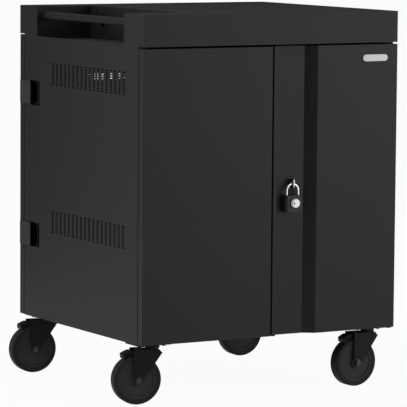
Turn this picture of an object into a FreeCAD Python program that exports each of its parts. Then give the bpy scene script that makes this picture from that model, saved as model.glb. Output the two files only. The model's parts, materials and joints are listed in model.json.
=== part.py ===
"""Charging cabinet on casters: sheet-metal body, front and rear doors, padlock, power parts."""
import math
import os

import FreeCAD
import Part

os.makedirs("parts", exist_ok=True)

V = FreeCAD.Vector
ALONG_X = V(1, 0, 0)
ALONG_Y = V(0, 1, 0)
ALONG_Z = V(0, 0, 1)

# Cabinet body, measured from its left front bottom corner
width = 762.0
depth = 690.0
height = 838.0
ground = 156.0
sheet = 1.5
side_flange = 22.0
bend_round = 1.2
over = 6.0

# Hood bands and the well in the top
band_height = 81.5
band_gap = 5.0
rear_band_height = 76.0
rear_band_gap = 2.5
post_front = 103.0
post_rear = 99.0
well_width = 162.0
well_drop = 86.0
notch_drop = 79.3

# Handle bar across the notch
bar_inset = 18.0
bar_width = 22.0
bar_height = 19.0
bar_drop = 14.5
bar_round = 6.0

# Front doors
door_depth = 24.0
door_gap = 3.0
door_low = 1.0
split_gap = 4.0
door_lip = 12.0
strip_width = 103.0
strip_lip = 11.0
slant_width = 29.5
strip_depth = 19.0
stiffener_width = 40.0
stiffener_depth = 13.0
stiffener_margin = 24.0

# Door pivots
pivot_inset = 5.5
pivot_radius = 2.5
pivot_collar = 3.8
collar_height = 4.0
turn_clear = 0.05
pivot_plate = 3.0
pivot_plate_width = 11.0
pivot_plate_edge = 0.5
pivot_plate_front = 12.0
pivot_plate_length = 78.0
top_plate_length = 40.0

# Badge on the right door
badge_length = 76.0
badge_height = 17.5
badge_thick = 1.2
badge_from_side = 70.0
badge_from_top = 35.0

# Vent fields, rows and columns of short slots
vent_rows = 10
vent_pitch = 23.0
vent_row_pitch = 6.2
slot_length = 12.0
slot_height = 3.2
vent_front = 104.0
vent_rear = 195.0
upper_vent_drop = 177.0
lower_vent = 268.0

# Rear door and its goose-neck hinges
rear_set = 2.5
rear_depth = 24.0
rear_gap = 2.0
hinge_upper_drop = 232.0
hinge_lower = 224.0
hinge_slot_front = 116.0
hinge_slot_rear = 58.0
hinge_slot_height = 66.0
arm_height = 62.0
arm_thick = 3.0
arm_strip = 5.0
arm_clear = 0.8
arm_end = 8.0
arm_bend = 65.0
hinge_pin_inset = 10.0
hinge_pin_back = 91.0
hinge_pin_radius = 3.0
hinge_barrel = 6.0
bracket_depth = 20.0
bracket_half = 12.0
bracket_sheet = 2.5
bracket_clear = 2.0

# Rear lock
lock_from_side = 60.0
lock_height = 420.0
barrel_radius = 9.5
barrel_head = 12.0
barrel_head_thick = 2.0
plug_radius = 6.0
cam_back = 32.0
cam_thick = 3.0
cam_half = 6.0
cam_length = 42.0
cam_tail = 8.0
cam_clear = 0.5
key_width = 1.6
key_length = 7.0
key_depth = 3.0

# Inside of the cabinet
base_sheet = 2.0
base_flange = 15.0
roof_flange = 20.0
shelf_height = 375.0
partition_from_rear = 220.0
cable_slots = 1
cable_slot_width = 600.0
cable_slot_height = 24.0
cable_slot_low = 190.0
cable_slot_drop = 198.0
divider_count = 11
divider_thick = 2.0
divider_pitch = 63.0
divider_front = 76.0
divider_gap = 20.0
divider_height = 148.0
divider_round = 40.0

# Power strip with its rocker
strip_from_side = 45.0
strip_case_width = 50.0
strip_case_depth = 40.0
strip_case_low = 90.0
strip_top_gap = 59.0
outlet_pitch = 48.0
outlet_first = 40.0
outlet_width = 26.0
outlet_height = 22.0
outlet_depth = 3.0
rocker_from_top = 40.0
rocker_width = 15.0
rocker_length = 22.0
rocker_thick = 6.0
rocker_hub = 4.0
rocker_stub = 1.5
rocker_sink = 3.0
rocker_room = 2.0
rocker_pocket = 14.0
rocker_tilt = 8.0

# Controller cover in the space under the hood
controller_left = 240.0
controller_from_rear = 100.0
controller_length = 240.0
controller_depth = 210.0
controller_height = 64.0

# Power inlet and breaker on the inner wall of the well
inlet_from_rear = 176.0
inlet_drop = 42.0
inlet_width = 31.0
inlet_height = 51.0
inlet_flange = 3.0
inlet_body_width = 26.0
inlet_body_height = 34.0
inlet_back = 26.0
inlet_mouth_width = 20.0
inlet_mouth_height = 27.0
inlet_mouth_depth = 18.0
inlet_pin_width = 2.0
inlet_pin_height = 4.0
inlet_pin_length = 13.0
inlet_pin_offset = 7.0
inlet_pin_side = 3.0
inlet_screw_reach = 20.8
inlet_screw_radius = 2.8
inlet_screw_head = 1.6
breaker_from_rear = 134.0
breaker_drop = 15.5
breaker_case = 22.0
breaker_case_back = 28.0
breaker_case_drop = 5.0
button_radius = 4.0
button_out = 5.0
button_in = 8.0
button_bore = 14.0

# Padlock and hasp staple
lock_x_from_split = 62.0
lock_rise = 394.5
lock_front = 13.0
staple_thick = 3.5
staple_out = 22.0
staple_below = 11.0
staple_height = 25.0
staple_eye = 5.5
staple_plate_half = 20.0
staple_plate_reach = 12.0
staple_slot_clear = 1.0
staple_slot_extra = 7.0
wire_radius = 3.0
wire_rest = 0.3
arch_radius = 17.5
shackle_rise = 29.0
shackle_leg = 14.0
leg_clear = 0.1
leg_floor = 3.0
padlock_width = 48.0
padlock_height = 43.0
padlock_thick = 24.0
padlock_round = 4.0
dial_radius = 11.5
dial_thick = 8.0
dial_gap = 0.5
dial_round = 1.5
dial_drop = 20.0
spindle_radius = 3.0
spindle_depth = 9.0

# Casters, one frame each with the kingpin as its axis
king_x = 54.5
king_y = 52.0
trail = 40.0
caster_turn_shares = {"fl": -12.0, "fr": 2.0, "rl": -7.0, "rr": -3.0}
plate_length = 84.0
plate_width = 64.0
plate_thick = 3.0
bolt_x = 31.0
bolt_y = 12.5
bolt_radius = 4.0
bolt_clear = 0.25
bolt_head = 6.5
bolt_head_height = 5.0
backing_thick = 3.0
nut_radius = 7.5
nut_height = 5.0
bolt_end = 2.0
race_radius = 22.0
race_height = 9.2
race_gap = 0.8
king_radius = 6.0
king_head = 10.0
king_head_height = 3.5
king_head_gap = 0.5
crown_thick = 4.0
crown_left = 40.0
fork_right = 24.0
fork_shoulder = 14.0
fork_corner = 10.0
fork_inner = 19.5
fork_leg = 3.0
fork_end = 11.0
axle_radius = 5.0
axle_head = 7.5
axle_head_height = 5.5
tyre_radius = 63.5
tyre_inner = 51.0
tyre_half = 16.0
tyre_round = 5.0
rim_inner = 44.0
rim_half = 14.5
web_half = 12.0
hub_radius = 15.0
hub_half = 18.6
pedal_x = 42.0
pedal_drop = 22.5
pedal_pin = 2.5
pedal_lug = 4.0
pedal_half = 15.0
pedal_outline_shares = [
    (-0.50, 0.44), (1.25, 0.66), (2.50, 0.69), (4.50, -0.25), (4.63, -0.81),
    (4.44, -1.88), (3.00, -1.19), (1.50, -0.71), (-0.50, -0.46)]
pedal_window_shares = [(2.00, 0.06), (4.00, -0.75), (4.00, -1.19), (2.00, -0.38)]
pedal_unit = 8.0

# Heights and planes that follow from the sizes above
door_top = height - band_height - band_gap
rear_door_top = height - rear_band_height - rear_band_gap
panel_front = door_depth + door_gap
rear_face = depth - rear_set
rear_inner = rear_face - rear_depth
panel_rear = rear_inner - rear_gap
panel_top = height - sheet
inside_front = panel_front + sheet
inside_rear = panel_rear - sheet
tray_floor = height - well_drop - sheet
roof_low = tray_floor - sheet
upper_vent = height - upper_vent_drop
hinge_upper = height - hinge_upper_drop
vent_columns = round((depth - vent_front - vent_rear) / vent_pitch) + 1
partition_back = depth - partition_from_rear
divider_length = partition_back - divider_gap - divider_front
strip_case_length = roof_low - strip_top_gap - strip_case_low
outlet_room = strip_case_length - rocker_from_top - outlet_pitch - outlet_first
outlet_count = int(outlet_room / outlet_pitch) + 1
controller_front = depth - controller_from_rear - controller_depth
inlet_y = depth - inlet_from_rear
breaker_y = depth - breaker_from_rear
well_front = post_front + sheet
well_rear = depth - post_rear - sheet
well_wall = well_width - sheet
hinge_pin_y = depth - hinge_pin_back
split_left = width / 2 - split_gap / 2
split_right = width / 2 + split_gap / 2
pivot_y = door_depth - pivot_inset
lock_x = split_right + lock_x_from_split
lock_y = strip_depth - lock_front
eye_z = lock_rise + staple_eye - wire_radius - wire_rest
padlock_top = lock_rise - shackle_rise
padlock_front = lock_y - padlock_thick / 2
dial_z = padlock_top - dial_drop
rocker_z = strip_case_low + strip_case_length - rocker_from_top
strip_face = partition_back + sheet + strip_case_depth
rocker_y = strip_face - rocker_sink
inlet_z = height - inlet_drop
breaker_z = height - breaker_drop
crown_top = -plate_thick - race_height - race_gap
axle_z = tyre_radius - ground
rear_lock_x = width - lock_from_side
cam_rear = rear_face - cam_back + cam_thick

built = {}


def block(x0, x1, y0, y1, z0, z1):
    """Box between two corners."""
    return Part.makeBox(x1 - x0, y1 - y0, z1 - z0, V(x0, y0, z0))


def rod(radius, start, direction, length):
    """Cylinder from a start point along a direction."""
    return Part.makeCylinder(radius, length, start, direction)


def fused(shapes):
    """One solid from shapes that touch."""
    return shapes[0].multiFuse(shapes[1:]).removeSplitter()


def outline(points):
    """Closed wire through points."""
    return Part.makePolygon([*points, points[0]])


def pierced(edge, holes, push):
    """Flat sheet with holes, pushed out to its thickness."""
    return Part.makeFace([edge, *holes], "Part::FaceMakerBullseye").extrude(push)


def slab(points, push):
    """Prism from a polygon."""
    return Part.Face(outline(points)).extrude(push)


def hexagon(across, start, direction, length):
    """Hexagonal prism from a start point along an axis."""
    other = ALONG_X if abs(direction.x) < 1 / 2 else ALONG_Z
    side = direction.cross(other)
    corners = []
    for step in range(6):
        turn = math.radians(step * 60)
        corners.append(start + other * (across * math.cos(turn)) + side * (across * math.sin(turn)))
    return slab(corners, direction * length)


def rounded(shape, radius, wanted):
    """Fillet on the edges whose middle passes a test."""
    edges = []
    for edge in shape.Edges:
        middle = edge.valueAt((edge.FirstParameter + edge.LastParameter) / 2)
        if wanted(edge, middle):
            edges.append(edge)
    return shape.makeFillet(radius, edges)


def straight_along(edge, axis):
    """Tell whether an edge runs along an axis."""
    ends = edge.Vertexes
    if len(ends) < 2:
        return False
    run = ends[1].Point.sub(ends[0].Point)
    return run.Length > 0 and abs(run.dot(axis)) > run.Length * (1 - 1 / 1000)


def close(a, b):
    """Tell whether two lengths agree."""
    return abs(a - b) < sheet / 100


def keep(name, shape):
    """Store a node."""
    built[name] = shape


def vent_wires(plane_x, low):
    """Slots of one vent field on a side panel."""
    wires = []
    for column in range(vent_columns):
        y = vent_front + column * vent_pitch - slot_length / 2
        for row in range(vent_rows):
            z = low + (row - (vent_rows - 1) / 2) * vent_row_pitch - slot_height / 2
            wires.append(outline([
                V(plane_x, y, z), V(plane_x, y + slot_length, z),
                V(plane_x, y + slot_length, z + slot_height), V(plane_x, y, z + slot_height)]))
    return wires


def side_flanges(outer, inner):
    """Front and rear returns of a side panel."""
    left, right = sorted((outer, inner))
    return [
        block(left, right, panel_front, inside_front, 0, panel_top),
        block(left, right, inside_rear, panel_rear, 0, panel_top)]


def left_side():
    """Left panel with vents, hinge slots and the handle notch."""
    notch = height - notch_drop
    edge = outline([
        V(0, panel_front, 0), V(0, panel_rear, 0), V(0, panel_rear, panel_top),
        V(0, well_rear, panel_top), V(0, well_rear, notch), V(0, well_front, notch),
        V(0, well_front, panel_top), V(0, panel_front, panel_top)])
    holes = vent_wires(0, upper_vent) + vent_wires(0, lower_vent)
    front = depth - hinge_slot_front
    rear = depth - hinge_slot_rear
    for middle in (hinge_upper, hinge_lower):
        low = middle - hinge_slot_height / 2
        high = middle + hinge_slot_height / 2
        holes.append(outline([V(0, front, low), V(0, rear, low), V(0, rear, high), V(0, front, high)]))
    panel = pierced(edge, holes, V(sheet, 0, 0))
    return fused([panel, *side_flanges(sheet, side_flange)])


def right_side():
    """Right panel with vents."""
    edge = outline([
        V(width, panel_front, 0), V(width, panel_rear, 0),
        V(width, panel_rear, panel_top), V(width, panel_front, panel_top)])
    holes = vent_wires(width, upper_vent) + vent_wires(width, lower_vent)
    panel = pierced(edge, holes, V(-sheet, 0, 0))
    return fused([panel, *side_flanges(width - sheet, width - side_flange)])


def hood():
    """Top sheet with its bands and end returns."""
    top = slab([
        V(0, 0, panel_top), V(width, 0, panel_top), V(width, depth, panel_top), V(0, depth, panel_top),
        V(0, well_rear, panel_top), V(well_wall, well_rear, panel_top),
        V(well_wall, well_front, panel_top), V(0, well_front, panel_top)], V(0, 0, sheet))
    front_low = height - band_height
    rear_low = height - rear_band_height
    parts = [
        top,
        block(0, width, 0, sheet, front_low, panel_top),
        block(0, width, depth - sheet, depth, rear_low, panel_top)]
    for left in (0, width - sheet):
        parts.append(block(left, left + sheet, sheet, panel_front, front_low, panel_top))
        parts.append(block(left, left + sheet, panel_rear, depth - sheet, rear_low, panel_top))
    shape = fused(parts)

    def outer(edge, middle):
        upright = straight_along(edge, ALONG_Z) and (close(middle.x, 0) or close(middle.x, width))
        corner = upright and (close(middle.y, 0) or close(middle.y, depth))
        brow = straight_along(edge, ALONG_X) and close(middle.z, height)
        return corner or (brow and (close(middle.y, 0) or close(middle.y, depth)))

    return rounded(shape, bend_round, outer)


def well_tray():
    """Pocket in the top for the handle and the power lead."""
    rear = depth - post_rear
    shape = fused([
        block(sheet, well_width, post_front, rear, tray_floor, tray_floor + sheet),
        block(well_wall, well_width, post_front, rear, tray_floor, panel_top),
        block(sheet, well_width, post_front, well_front, tray_floor, panel_top),
        block(sheet, well_width, well_rear, rear, tray_floor, panel_top)])
    mouth = block(
        well_wall - over, well_width + over,
        inlet_y - inlet_body_width / 2, inlet_y + inlet_body_width / 2,
        inlet_z - inlet_body_height / 2, inlet_z + inlet_body_height / 2)
    bore = rod(button_radius + bolt_clear, V(well_wall - over, breaker_y, breaker_z), ALONG_X, over * 3)
    return shape.cut(mouth).cut(bore)


def handle_bar():
    """Rounded bar between the end walls of the well."""
    shape = block(
        bar_inset, bar_inset + bar_width, well_front, well_rear,
        height - bar_drop - bar_height, height - bar_drop)
    return rounded(shape, bar_round, lambda edge, middle: straight_along(edge, ALONG_Y))


def tray_sheet(x0, x1, y0, y1, low, thick, flange, up):
    """Flat sheet with a flange on each side, up or down."""
    z0, z1 = (low + thick, low + thick + flange) if up else (low - flange, low)
    return fused([
        block(x0, x1, y0, y1, low, low + thick),
        block(x0, x0 + sheet, y0, y1, z0, z1),
        block(x1 - sheet, x1, y0, y1, z0, z1),
        block(x0, x1, y0, y0 + sheet, z0, z1),
        block(x0, x1, y1 - sheet, y1, z0, z1)])


def caster_places():
    """Kingpin position and rest turn of each caster."""
    return {
        "fl": (king_x, king_y, caster_turn_shares["fl"]),
        "fr": (width - king_x, king_y, caster_turn_shares["fr"]),
        "rl": (king_x, depth - king_y, caster_turn_shares["rl"]),
        "rr": (width - king_x, depth - king_y, caster_turn_shares["rr"])}


def bolt_places():
    """Bolt positions about one kingpin."""
    return [(sx * bolt_x, sy * bolt_y) for sx in (-1, 1) for sy in (-1, 1)]


def base_pan():
    """Floor pan of the body with the caster bolt holes."""
    shape = tray_sheet(sheet, width - sheet, inside_front, inside_rear, 0, base_sheet, base_flange, True)
    holes = []
    for x, y, turn in caster_places().values():
        for dx, dy in bolt_places():
            holes.append(rod(bolt_radius + bolt_clear, V(x + dx, y + dy, -over), ALONG_Z, over * 3))
    return shape.cut(Part.Compound(holes))


def partition():
    """Rear wall of the device bay with cable slots."""
    left = sheet * 2
    right = width - sheet * 2
    edge = outline([
        V(left, partition_back, base_sheet), V(right, partition_back, base_sheet),
        V(right, partition_back, roof_low), V(left, partition_back, roof_low)])
    holes = []
    for low in (cable_slot_low, height - cable_slot_drop):
        for step in range(cable_slots):
            x = width * (step + 1 / 2) / cable_slots - cable_slot_width / 2
            holes.append(outline([
                V(x, partition_back, low), V(x + cable_slot_width, partition_back, low),
                V(x + cable_slot_width, partition_back, low + cable_slot_height),
                V(x, partition_back, low + cable_slot_height)]))
    return pierced(edge, holes, V(0, sheet, 0))


def dividers(low):
    """Row of upright plates that part the devices."""
    plates = []
    for step in range(divider_count):
        x = width / 2 + (step - (divider_count - 1) / 2) * divider_pitch - divider_thick / 2
        rear = divider_front + divider_length
        plates.append(slab([
            V(x, divider_front, low), V(x, rear, low), V(x, rear, low + divider_height),
            V(x, divider_front + divider_round, low + divider_height),
            V(x, divider_front, low + divider_height - divider_round)], V(divider_thick, 0, 0)))
    return Part.Compound(plates)


def power_strip():
    """Upright outlet strip on the back of the partition."""
    left = strip_from_side - strip_case_width / 2
    top = strip_case_low + strip_case_length
    case = block(
        left, left + strip_case_width, partition_back + sheet, strip_face, strip_case_low, top)
    cuts = []
    for step in range(outlet_count):
        z = strip_case_low + outlet_first + step * outlet_pitch
        cuts.append(block(
            strip_from_side - outlet_width / 2, strip_from_side + outlet_width / 2,
            strip_face - outlet_depth, strip_face + over,
            z - outlet_height / 2, z + outlet_height / 2))
    half = rocker_width / 2 + rocker_room / 2
    reach = rocker_length / 2 + rocker_room
    cuts.append(block(
        strip_from_side - half, strip_from_side + half,
        strip_face - rocker_pocket, strip_face + over, rocker_z - reach, rocker_z + reach))
    cuts.append(rod(
        rocker_stub + turn_clear, V(strip_from_side - half - over, rocker_y, rocker_z),
        ALONG_X, half * 2 + over * 2))
    return case.cut(Part.Compound(cuts))


def strip_rocker():
    """Rocker of the power strip, resting tipped one way."""
    plate = block(
        strip_from_side - rocker_width / 2, strip_from_side + rocker_width / 2,
        rocker_y - rocker_thick / 2, rocker_y + rocker_thick / 2,
        rocker_z - rocker_length / 2, rocker_z + rocker_length / 2)
    half = rocker_width / 2
    hub = rod(rocker_hub, V(strip_from_side - half, rocker_y, rocker_z), ALONG_X, rocker_width)
    reach = half + rocker_room
    stub = rod(rocker_stub, V(strip_from_side - reach, rocker_y, rocker_z), ALONG_X, reach * 2)
    shape = fused([plate, hub, stub])
    shape.rotate(V(strip_from_side, rocker_y, rocker_z), ALONG_X, rocker_tilt)
    return shape


def controller_cover():
    """Open-bottomed cover over the charge controller."""
    low = tray_floor
    right = controller_left + controller_length
    rear = controller_front + controller_depth
    outer = block(controller_left, right, controller_front, rear, low, low + controller_height)
    inner = block(
        controller_left + sheet, right - sheet, controller_front + sheet, rear - sheet,
        low - over, low + controller_height - sheet)
    return outer.cut(inner)


def power_inlet():
    """Flanged inlet in the inner wall of the well."""
    face = well_wall - inlet_flange
    flange = block(
        face, well_wall, inlet_y - inlet_width / 2, inlet_y + inlet_width / 2,
        inlet_z - inlet_height / 2, inlet_z + inlet_height / 2)
    flange = rounded(flange, inlet_flange, lambda edge, middle: straight_along(edge, ALONG_X))
    body = block(
        well_wall, well_width + inlet_back,
        inlet_y - inlet_body_width / 2, inlet_y + inlet_body_width / 2,
        inlet_z - inlet_body_height / 2, inlet_z + inlet_body_height / 2)
    mouth = block(
        face - over, face + inlet_mouth_depth,
        inlet_y - inlet_mouth_width / 2, inlet_y + inlet_mouth_width / 2,
        inlet_z - inlet_mouth_height / 2, inlet_z + inlet_mouth_height / 2)
    return fused([flange, body]).cut(mouth)


def inlet_pins():
    """Three contact blades in the inlet mouth."""
    bottom = well_wall - inlet_flange + inlet_mouth_depth
    pins = []
    for rise, side in ((-1, -1), (0, 1), (1, -1)):
        y = inlet_y + side * inlet_pin_side
        z = inlet_z + rise * inlet_pin_offset
        pins.append(block(
            bottom - inlet_pin_length, bottom, y - inlet_pin_width / 2, y + inlet_pin_width / 2,
            z - inlet_pin_height / 2, z + inlet_pin_height / 2))
    return Part.Compound(pins)


def inlet_screws():
    """Two screw heads on the inlet flange."""
    face = well_wall - inlet_flange
    heads = []
    for rise in (-1, 1):
        start = V(face - inlet_screw_head, inlet_y, inlet_z + rise * inlet_screw_reach)
        heads.append(rod(inlet_screw_radius, start, ALONG_X, inlet_screw_head))
    return Part.Compound(heads)


def breaker_housing():
    """Breaker case behind the well wall with a bore for its button."""
    case = block(
        well_width, well_width + breaker_case_back,
        breaker_y - breaker_case / 2, breaker_y + breaker_case / 2,
        breaker_z - breaker_case + breaker_case_drop, breaker_z + breaker_case_drop + button_radius)
    bore = rod(
        button_radius + turn_clear, V(well_width - over, breaker_y, breaker_z),
        ALONG_X, over + button_bore)
    return case.cut(bore)


def breaker_button():
    """Push button of the breaker."""
    shape = rod(
        button_radius, V(well_wall - button_out, breaker_y, breaker_z), ALONG_X, button_out + button_in)
    return shape


def pivot_plates():
    """Plates that carry the door pivots, two above and two below."""
    plates = []
    top_low = height - band_height
    for side in (0, 1):
        hinge_x = side * width + (1 - 2 * side) * pivot_inset
        near = sheet if side == 0 else width - sheet - top_plate_length
        plate = block(near, near + top_plate_length, sheet, panel_front, top_low, top_low + pivot_plate)
        hole = rod(pivot_radius + turn_clear, V(hinge_x, pivot_y, top_low - over), ALONG_Z, over * 3)
        plates.append(plate.cut(hole))
        near = pivot_plate_edge if side == 0 else width - pivot_plate_edge - pivot_plate_width
        plate = block(
            near, near + pivot_plate_width,
            pivot_plate_front, pivot_plate_front + pivot_plate_length, -pivot_plate, 0)
        hole = rod(pivot_radius + turn_clear, V(hinge_x, pivot_y, -over), ALONG_Z, over * 2)
        plates.append(plate.cut(hole))
    return Part.Compound(plates)


def door_pins(hinge_x):
    """Upper and lower pivot pin of a front door, each with a collar."""
    low_inside = door_low + sheet
    high_inside = door_top - sheet
    lower = fused([
        rod(pivot_radius, V(hinge_x, pivot_y, -pivot_plate), ALONG_Z, pivot_plate + low_inside),
        rod(pivot_collar, V(hinge_x, pivot_y, low_inside), ALONG_Z, collar_height)])
    upper = fused([
        rod(pivot_radius, V(hinge_x, pivot_y, high_inside), ALONG_Z, sheet + band_gap + pivot_plate),
        rod(pivot_collar, V(hinge_x, pivot_y, high_inside - collar_height), ALONG_Z, collar_height)])
    return Part.Compound([lower, upper])


def pin_holes(hinge_x):
    """Holes for the pivot pins through the door flanges."""
    return rod(pivot_radius, V(hinge_x, pivot_y, door_low - over), ALONG_Z, door_top + over)


def left_door_pan():
    """Folded pan of the left front door."""
    shape = block(0, split_left, 0, door_depth, door_low, door_top)
    shape = shape.cut(block(
        sheet, split_left - sheet, sheet, door_depth - sheet, door_low + sheet, door_top - sheet))
    shape = shape.cut(block(
        door_lip, split_left - door_lip, door_depth - sheet, door_depth + over,
        door_low + door_lip, door_top - door_lip))
    shape = shape.cut(pin_holes(pivot_inset))
    return rounded(shape, bend_round, lambda edge, middle: close(middle.y, 0))


def right_door_pan():
    """Folded pan of the right front door with the recessed strip."""
    lip_end = split_right + strip_lip
    strip_end = split_right + strip_width
    slant_end = strip_end + slant_width
    run = math.hypot(slant_width, strip_depth)
    back = sheet * (slant_width / run - 1) / strip_depth
    shift = strip_depth / run * sheet
    in_strip = strip_end + shift + back * slant_width
    in_slant = in_strip + slant_width
    outer = slab([
        V(split_right, 0, door_low), V(lip_end, 0, door_low),
        V(lip_end, strip_depth, door_low), V(strip_end, strip_depth, door_low),
        V(slant_end, 0, door_low), V(width, 0, door_low),
        V(width, door_depth, door_low), V(split_right, door_depth, door_low)],
        V(0, 0, door_top - door_low))
    low = door_low + sheet
    inner = slab([
        V(split_right + sheet, sheet, low), V(lip_end - sheet, sheet, low),
        V(lip_end - sheet, strip_depth + sheet, low), V(in_strip, strip_depth + sheet, low),
        V(in_slant, sheet, low), V(width - sheet, sheet, low),
        V(width - sheet, door_depth - sheet, low), V(split_right + sheet, door_depth - sheet, low)],
        V(0, 0, door_top - sheet - low))
    shape = outer.cut(inner)
    shape = shape.cut(block(
        split_right + door_lip, width - door_lip, door_depth - sheet, door_depth + over,
        door_low + door_lip, door_top - door_lip))
    half = staple_thick / 2 + staple_slot_clear
    low = lock_rise - staple_below - staple_slot_clear
    shape = shape.cut(block(
        lock_x - half, lock_x + half, strip_depth - over, strip_depth + sheet,
        low, low + staple_height + staple_slot_extra))
    shape = shape.cut(pin_holes(width - pivot_inset))

    def front(edge, middle):
        outside = middle.x > slant_end + sheet or middle.x < lip_end + sheet
        return outside and straight_along(edge, ALONG_Z) and close(middle.y, 0)

    return rounded(shape, bend_round, front)


def stiffener(middle_x):
    """Channel that stiffens a door skin."""
    left = middle_x - stiffener_width / 2
    low = door_low + stiffener_margin
    high = door_top - stiffener_margin
    outer = block(left, left + stiffener_width, sheet, sheet + stiffener_depth, low, high)
    inner = block(
        left + sheet, left + stiffener_width - sheet, sheet, stiffener_depth, low - over, high + over)
    return outer.cut(inner)


def badge():
    """Bare pill-shaped plate on the right door."""
    x = width - badge_from_side
    z = door_top - badge_from_top
    half = badge_length / 2
    plate = block(x - half, x + half, -badge_thick, 0, z - badge_height / 2, z + badge_height / 2)
    inside = badge_height / 2 * (1 - 1 / 50)
    return rounded(plate, inside, lambda edge, middle: straight_along(edge, ALONG_Y))


def hasp_staple():
    """Eye for the padlock on a plate behind the strip."""
    back = strip_depth + sheet
    plate_rear = door_depth - sheet
    low = lock_rise - staple_below
    tab = block(
        lock_x - staple_thick / 2, lock_x + staple_thick / 2, strip_depth - staple_out, back,
        low, low + staple_height)
    tab = rounded(
        tab, staple_eye,
        lambda edge, middle: straight_along(edge, ALONG_X) and middle.y < strip_depth - staple_out / 2)
    plate = block(
        lock_x - staple_plate_half, lock_x + staple_plate_half, back, plate_rear,
        low - staple_plate_reach, low + staple_height + staple_plate_reach)
    eye = rod(staple_eye, V(lock_x - staple_thick, lock_y, eye_z), ALONG_X, staple_thick * 2)
    return fused([tab, plate]).cut(eye)


def padlock_shackle():
    """Bent wire of the padlock."""
    middle = V(lock_x, lock_y, lock_rise - arch_radius)
    ring = Part.makeTorus(arch_radius, wire_radius, middle, ALONG_Y)
    reach = arch_radius + wire_radius * 2
    upper = block(
        lock_x - reach, lock_x + reach, lock_y - wire_radius * 2, lock_y + wire_radius * 2,
        middle.z, middle.z + reach)
    low = padlock_top - shackle_leg
    legs = []
    for side in (-1, 1):
        start = V(lock_x + side * arch_radius, lock_y, low)
        legs.append(rod(wire_radius, start, ALONG_Z, middle.z - low))
    return fused([ring.common(upper), *legs])


def padlock_body():
    """Case of the padlock with the shackle holes and the dial spindle hole."""
    low = padlock_top - padlock_height
    case = block(
        lock_x - padlock_width / 2, lock_x + padlock_width / 2,
        padlock_front, padlock_front + padlock_thick, low, padlock_top)
    case = rounded(case, padlock_round, lambda edge, middle: not straight_along(edge, ALONG_X))
    cuts = []
    deep = shackle_leg + leg_floor
    for side in (-1, 1):
        start = V(lock_x + side * arch_radius, lock_y, padlock_top - deep)
        cuts.append(rod(wire_radius + leg_clear, start, ALONG_Z, deep + over))
    cuts.append(rod(
        spindle_radius + turn_clear, V(lock_x, padlock_front - over, dial_z),
        ALONG_Y, over + spindle_depth + dial_gap))
    return case.cut(Part.Compound(cuts))


def padlock_dial():
    """Turning dial with its spindle."""
    rear = padlock_front - dial_gap
    knob = rod(dial_radius, V(lock_x, rear - dial_thick, dial_z), ALONG_Y, dial_thick)
    knob = rounded(knob, dial_round, lambda edge, middle: close(edge.BoundBox.YMax, rear - dial_thick))
    spindle = rod(spindle_radius, V(lock_x, rear, dial_z), ALONG_Y, spindle_depth)
    return fused([knob, spindle])


def rear_vent_wires(low):
    """Slots of one vent field on the rear door."""
    wires = []
    for column in range(vent_columns):
        x = width / 2 + (column - (vent_columns - 1) / 2) * vent_pitch - slot_length / 2
        for row in range(vent_rows):
            z = low + (row - (vent_rows - 1) / 2) * vent_row_pitch - slot_height / 2
            wires.append(outline([
                V(x, rear_face, z), V(x + slot_length, rear_face, z),
                V(x + slot_length, rear_face, z + slot_height), V(x, rear_face, z + slot_height)]))
    return wires


def rear_door_pan():
    """Folded pan of the rear door with vents."""
    edge = outline([
        V(0, rear_face, door_low), V(width, rear_face, door_low),
        V(width, rear_face, rear_door_top), V(0, rear_face, rear_door_top)])
    holes = rear_vent_wires(upper_vent) + rear_vent_wires(lower_vent)
    ring = Part.makeCircle(barrel_radius, V(rear_lock_x, rear_face, lock_height), ALONG_Y)
    skin = pierced(edge, [*holes, Part.Wire(ring)], V(0, -sheet, 0))
    skin_inner = rear_face - sheet
    low = door_low
    frame = block(0, width, rear_inner, skin_inner, low, rear_door_top)
    frame = frame.cut(block(
        sheet, width - sheet, rear_inner + sheet, skin_inner + over, low + sheet, rear_door_top - sheet))
    frame = frame.cut(block(
        door_lip, width - door_lip, rear_inner - over, rear_inner + over,
        low + door_lip, rear_door_top - door_lip))
    return fused([skin, frame])


def rear_hinge_arms():
    """Two arms from the rear door, each with two bent strips that hold a pin."""
    arms = []
    outer = -arm_clear - arm_thick
    bend = depth - arm_bend
    end = depth - arm_end
    pin = V(hinge_pin_inset, hinge_pin_y, 0)
    near = pin.x - arm_thick / 2
    far = pin.x + arm_thick / 2
    for middle in (hinge_upper, hinge_lower):
        z0 = middle - arm_height / 2
        z1 = z0 + arm_height
        parts = [
            block(outer, -arm_clear, bend - arm_thick, end, z0, z1),
            block(-arm_clear, 0, rear_inner, end, z0, z1)]
        for low in (z0, z1 - arm_strip):
            high = low + arm_strip
            parts.append(block(outer, far, bend - arm_thick, bend, low, high))
            parts.append(block(near, far, pin.y, bend, low, high))
            parts.append(rod(hinge_barrel, pin + V(0, 0, low), ALONG_Z, arm_strip))
        bore = rod(hinge_pin_radius + turn_clear, pin + V(0, 0, z0 - over), ALONG_Z, arm_height + over * 2)
        arms.append(fused(parts).cut(bore))
    return Part.Compound(arms)


def rear_hinge_brackets():
    """Brackets on the left panel that hold the rear hinge pins."""
    brackets = []
    front = hinge_pin_y - bracket_half
    rear = hinge_pin_y + bracket_half
    reach = arm_height / 2 + bracket_clear
    for middle in (hinge_upper, hinge_lower):
        ears = []
        for low in (middle - reach - bracket_sheet, middle + reach):
            ears.append(block(sheet, bracket_depth, front, rear, low, low + bracket_sheet))
        web = block(
            bracket_depth - bracket_sheet, bracket_depth, front, rear, middle - reach, middle + reach)
        pin = rod(
            hinge_pin_radius, V(hinge_pin_inset, hinge_pin_y, middle - reach - over),
            ALONG_Z, (reach + over) * 2)
        brackets.append(fused([*ears, web]).cut(pin))
    return Part.Compound(brackets)


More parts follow.
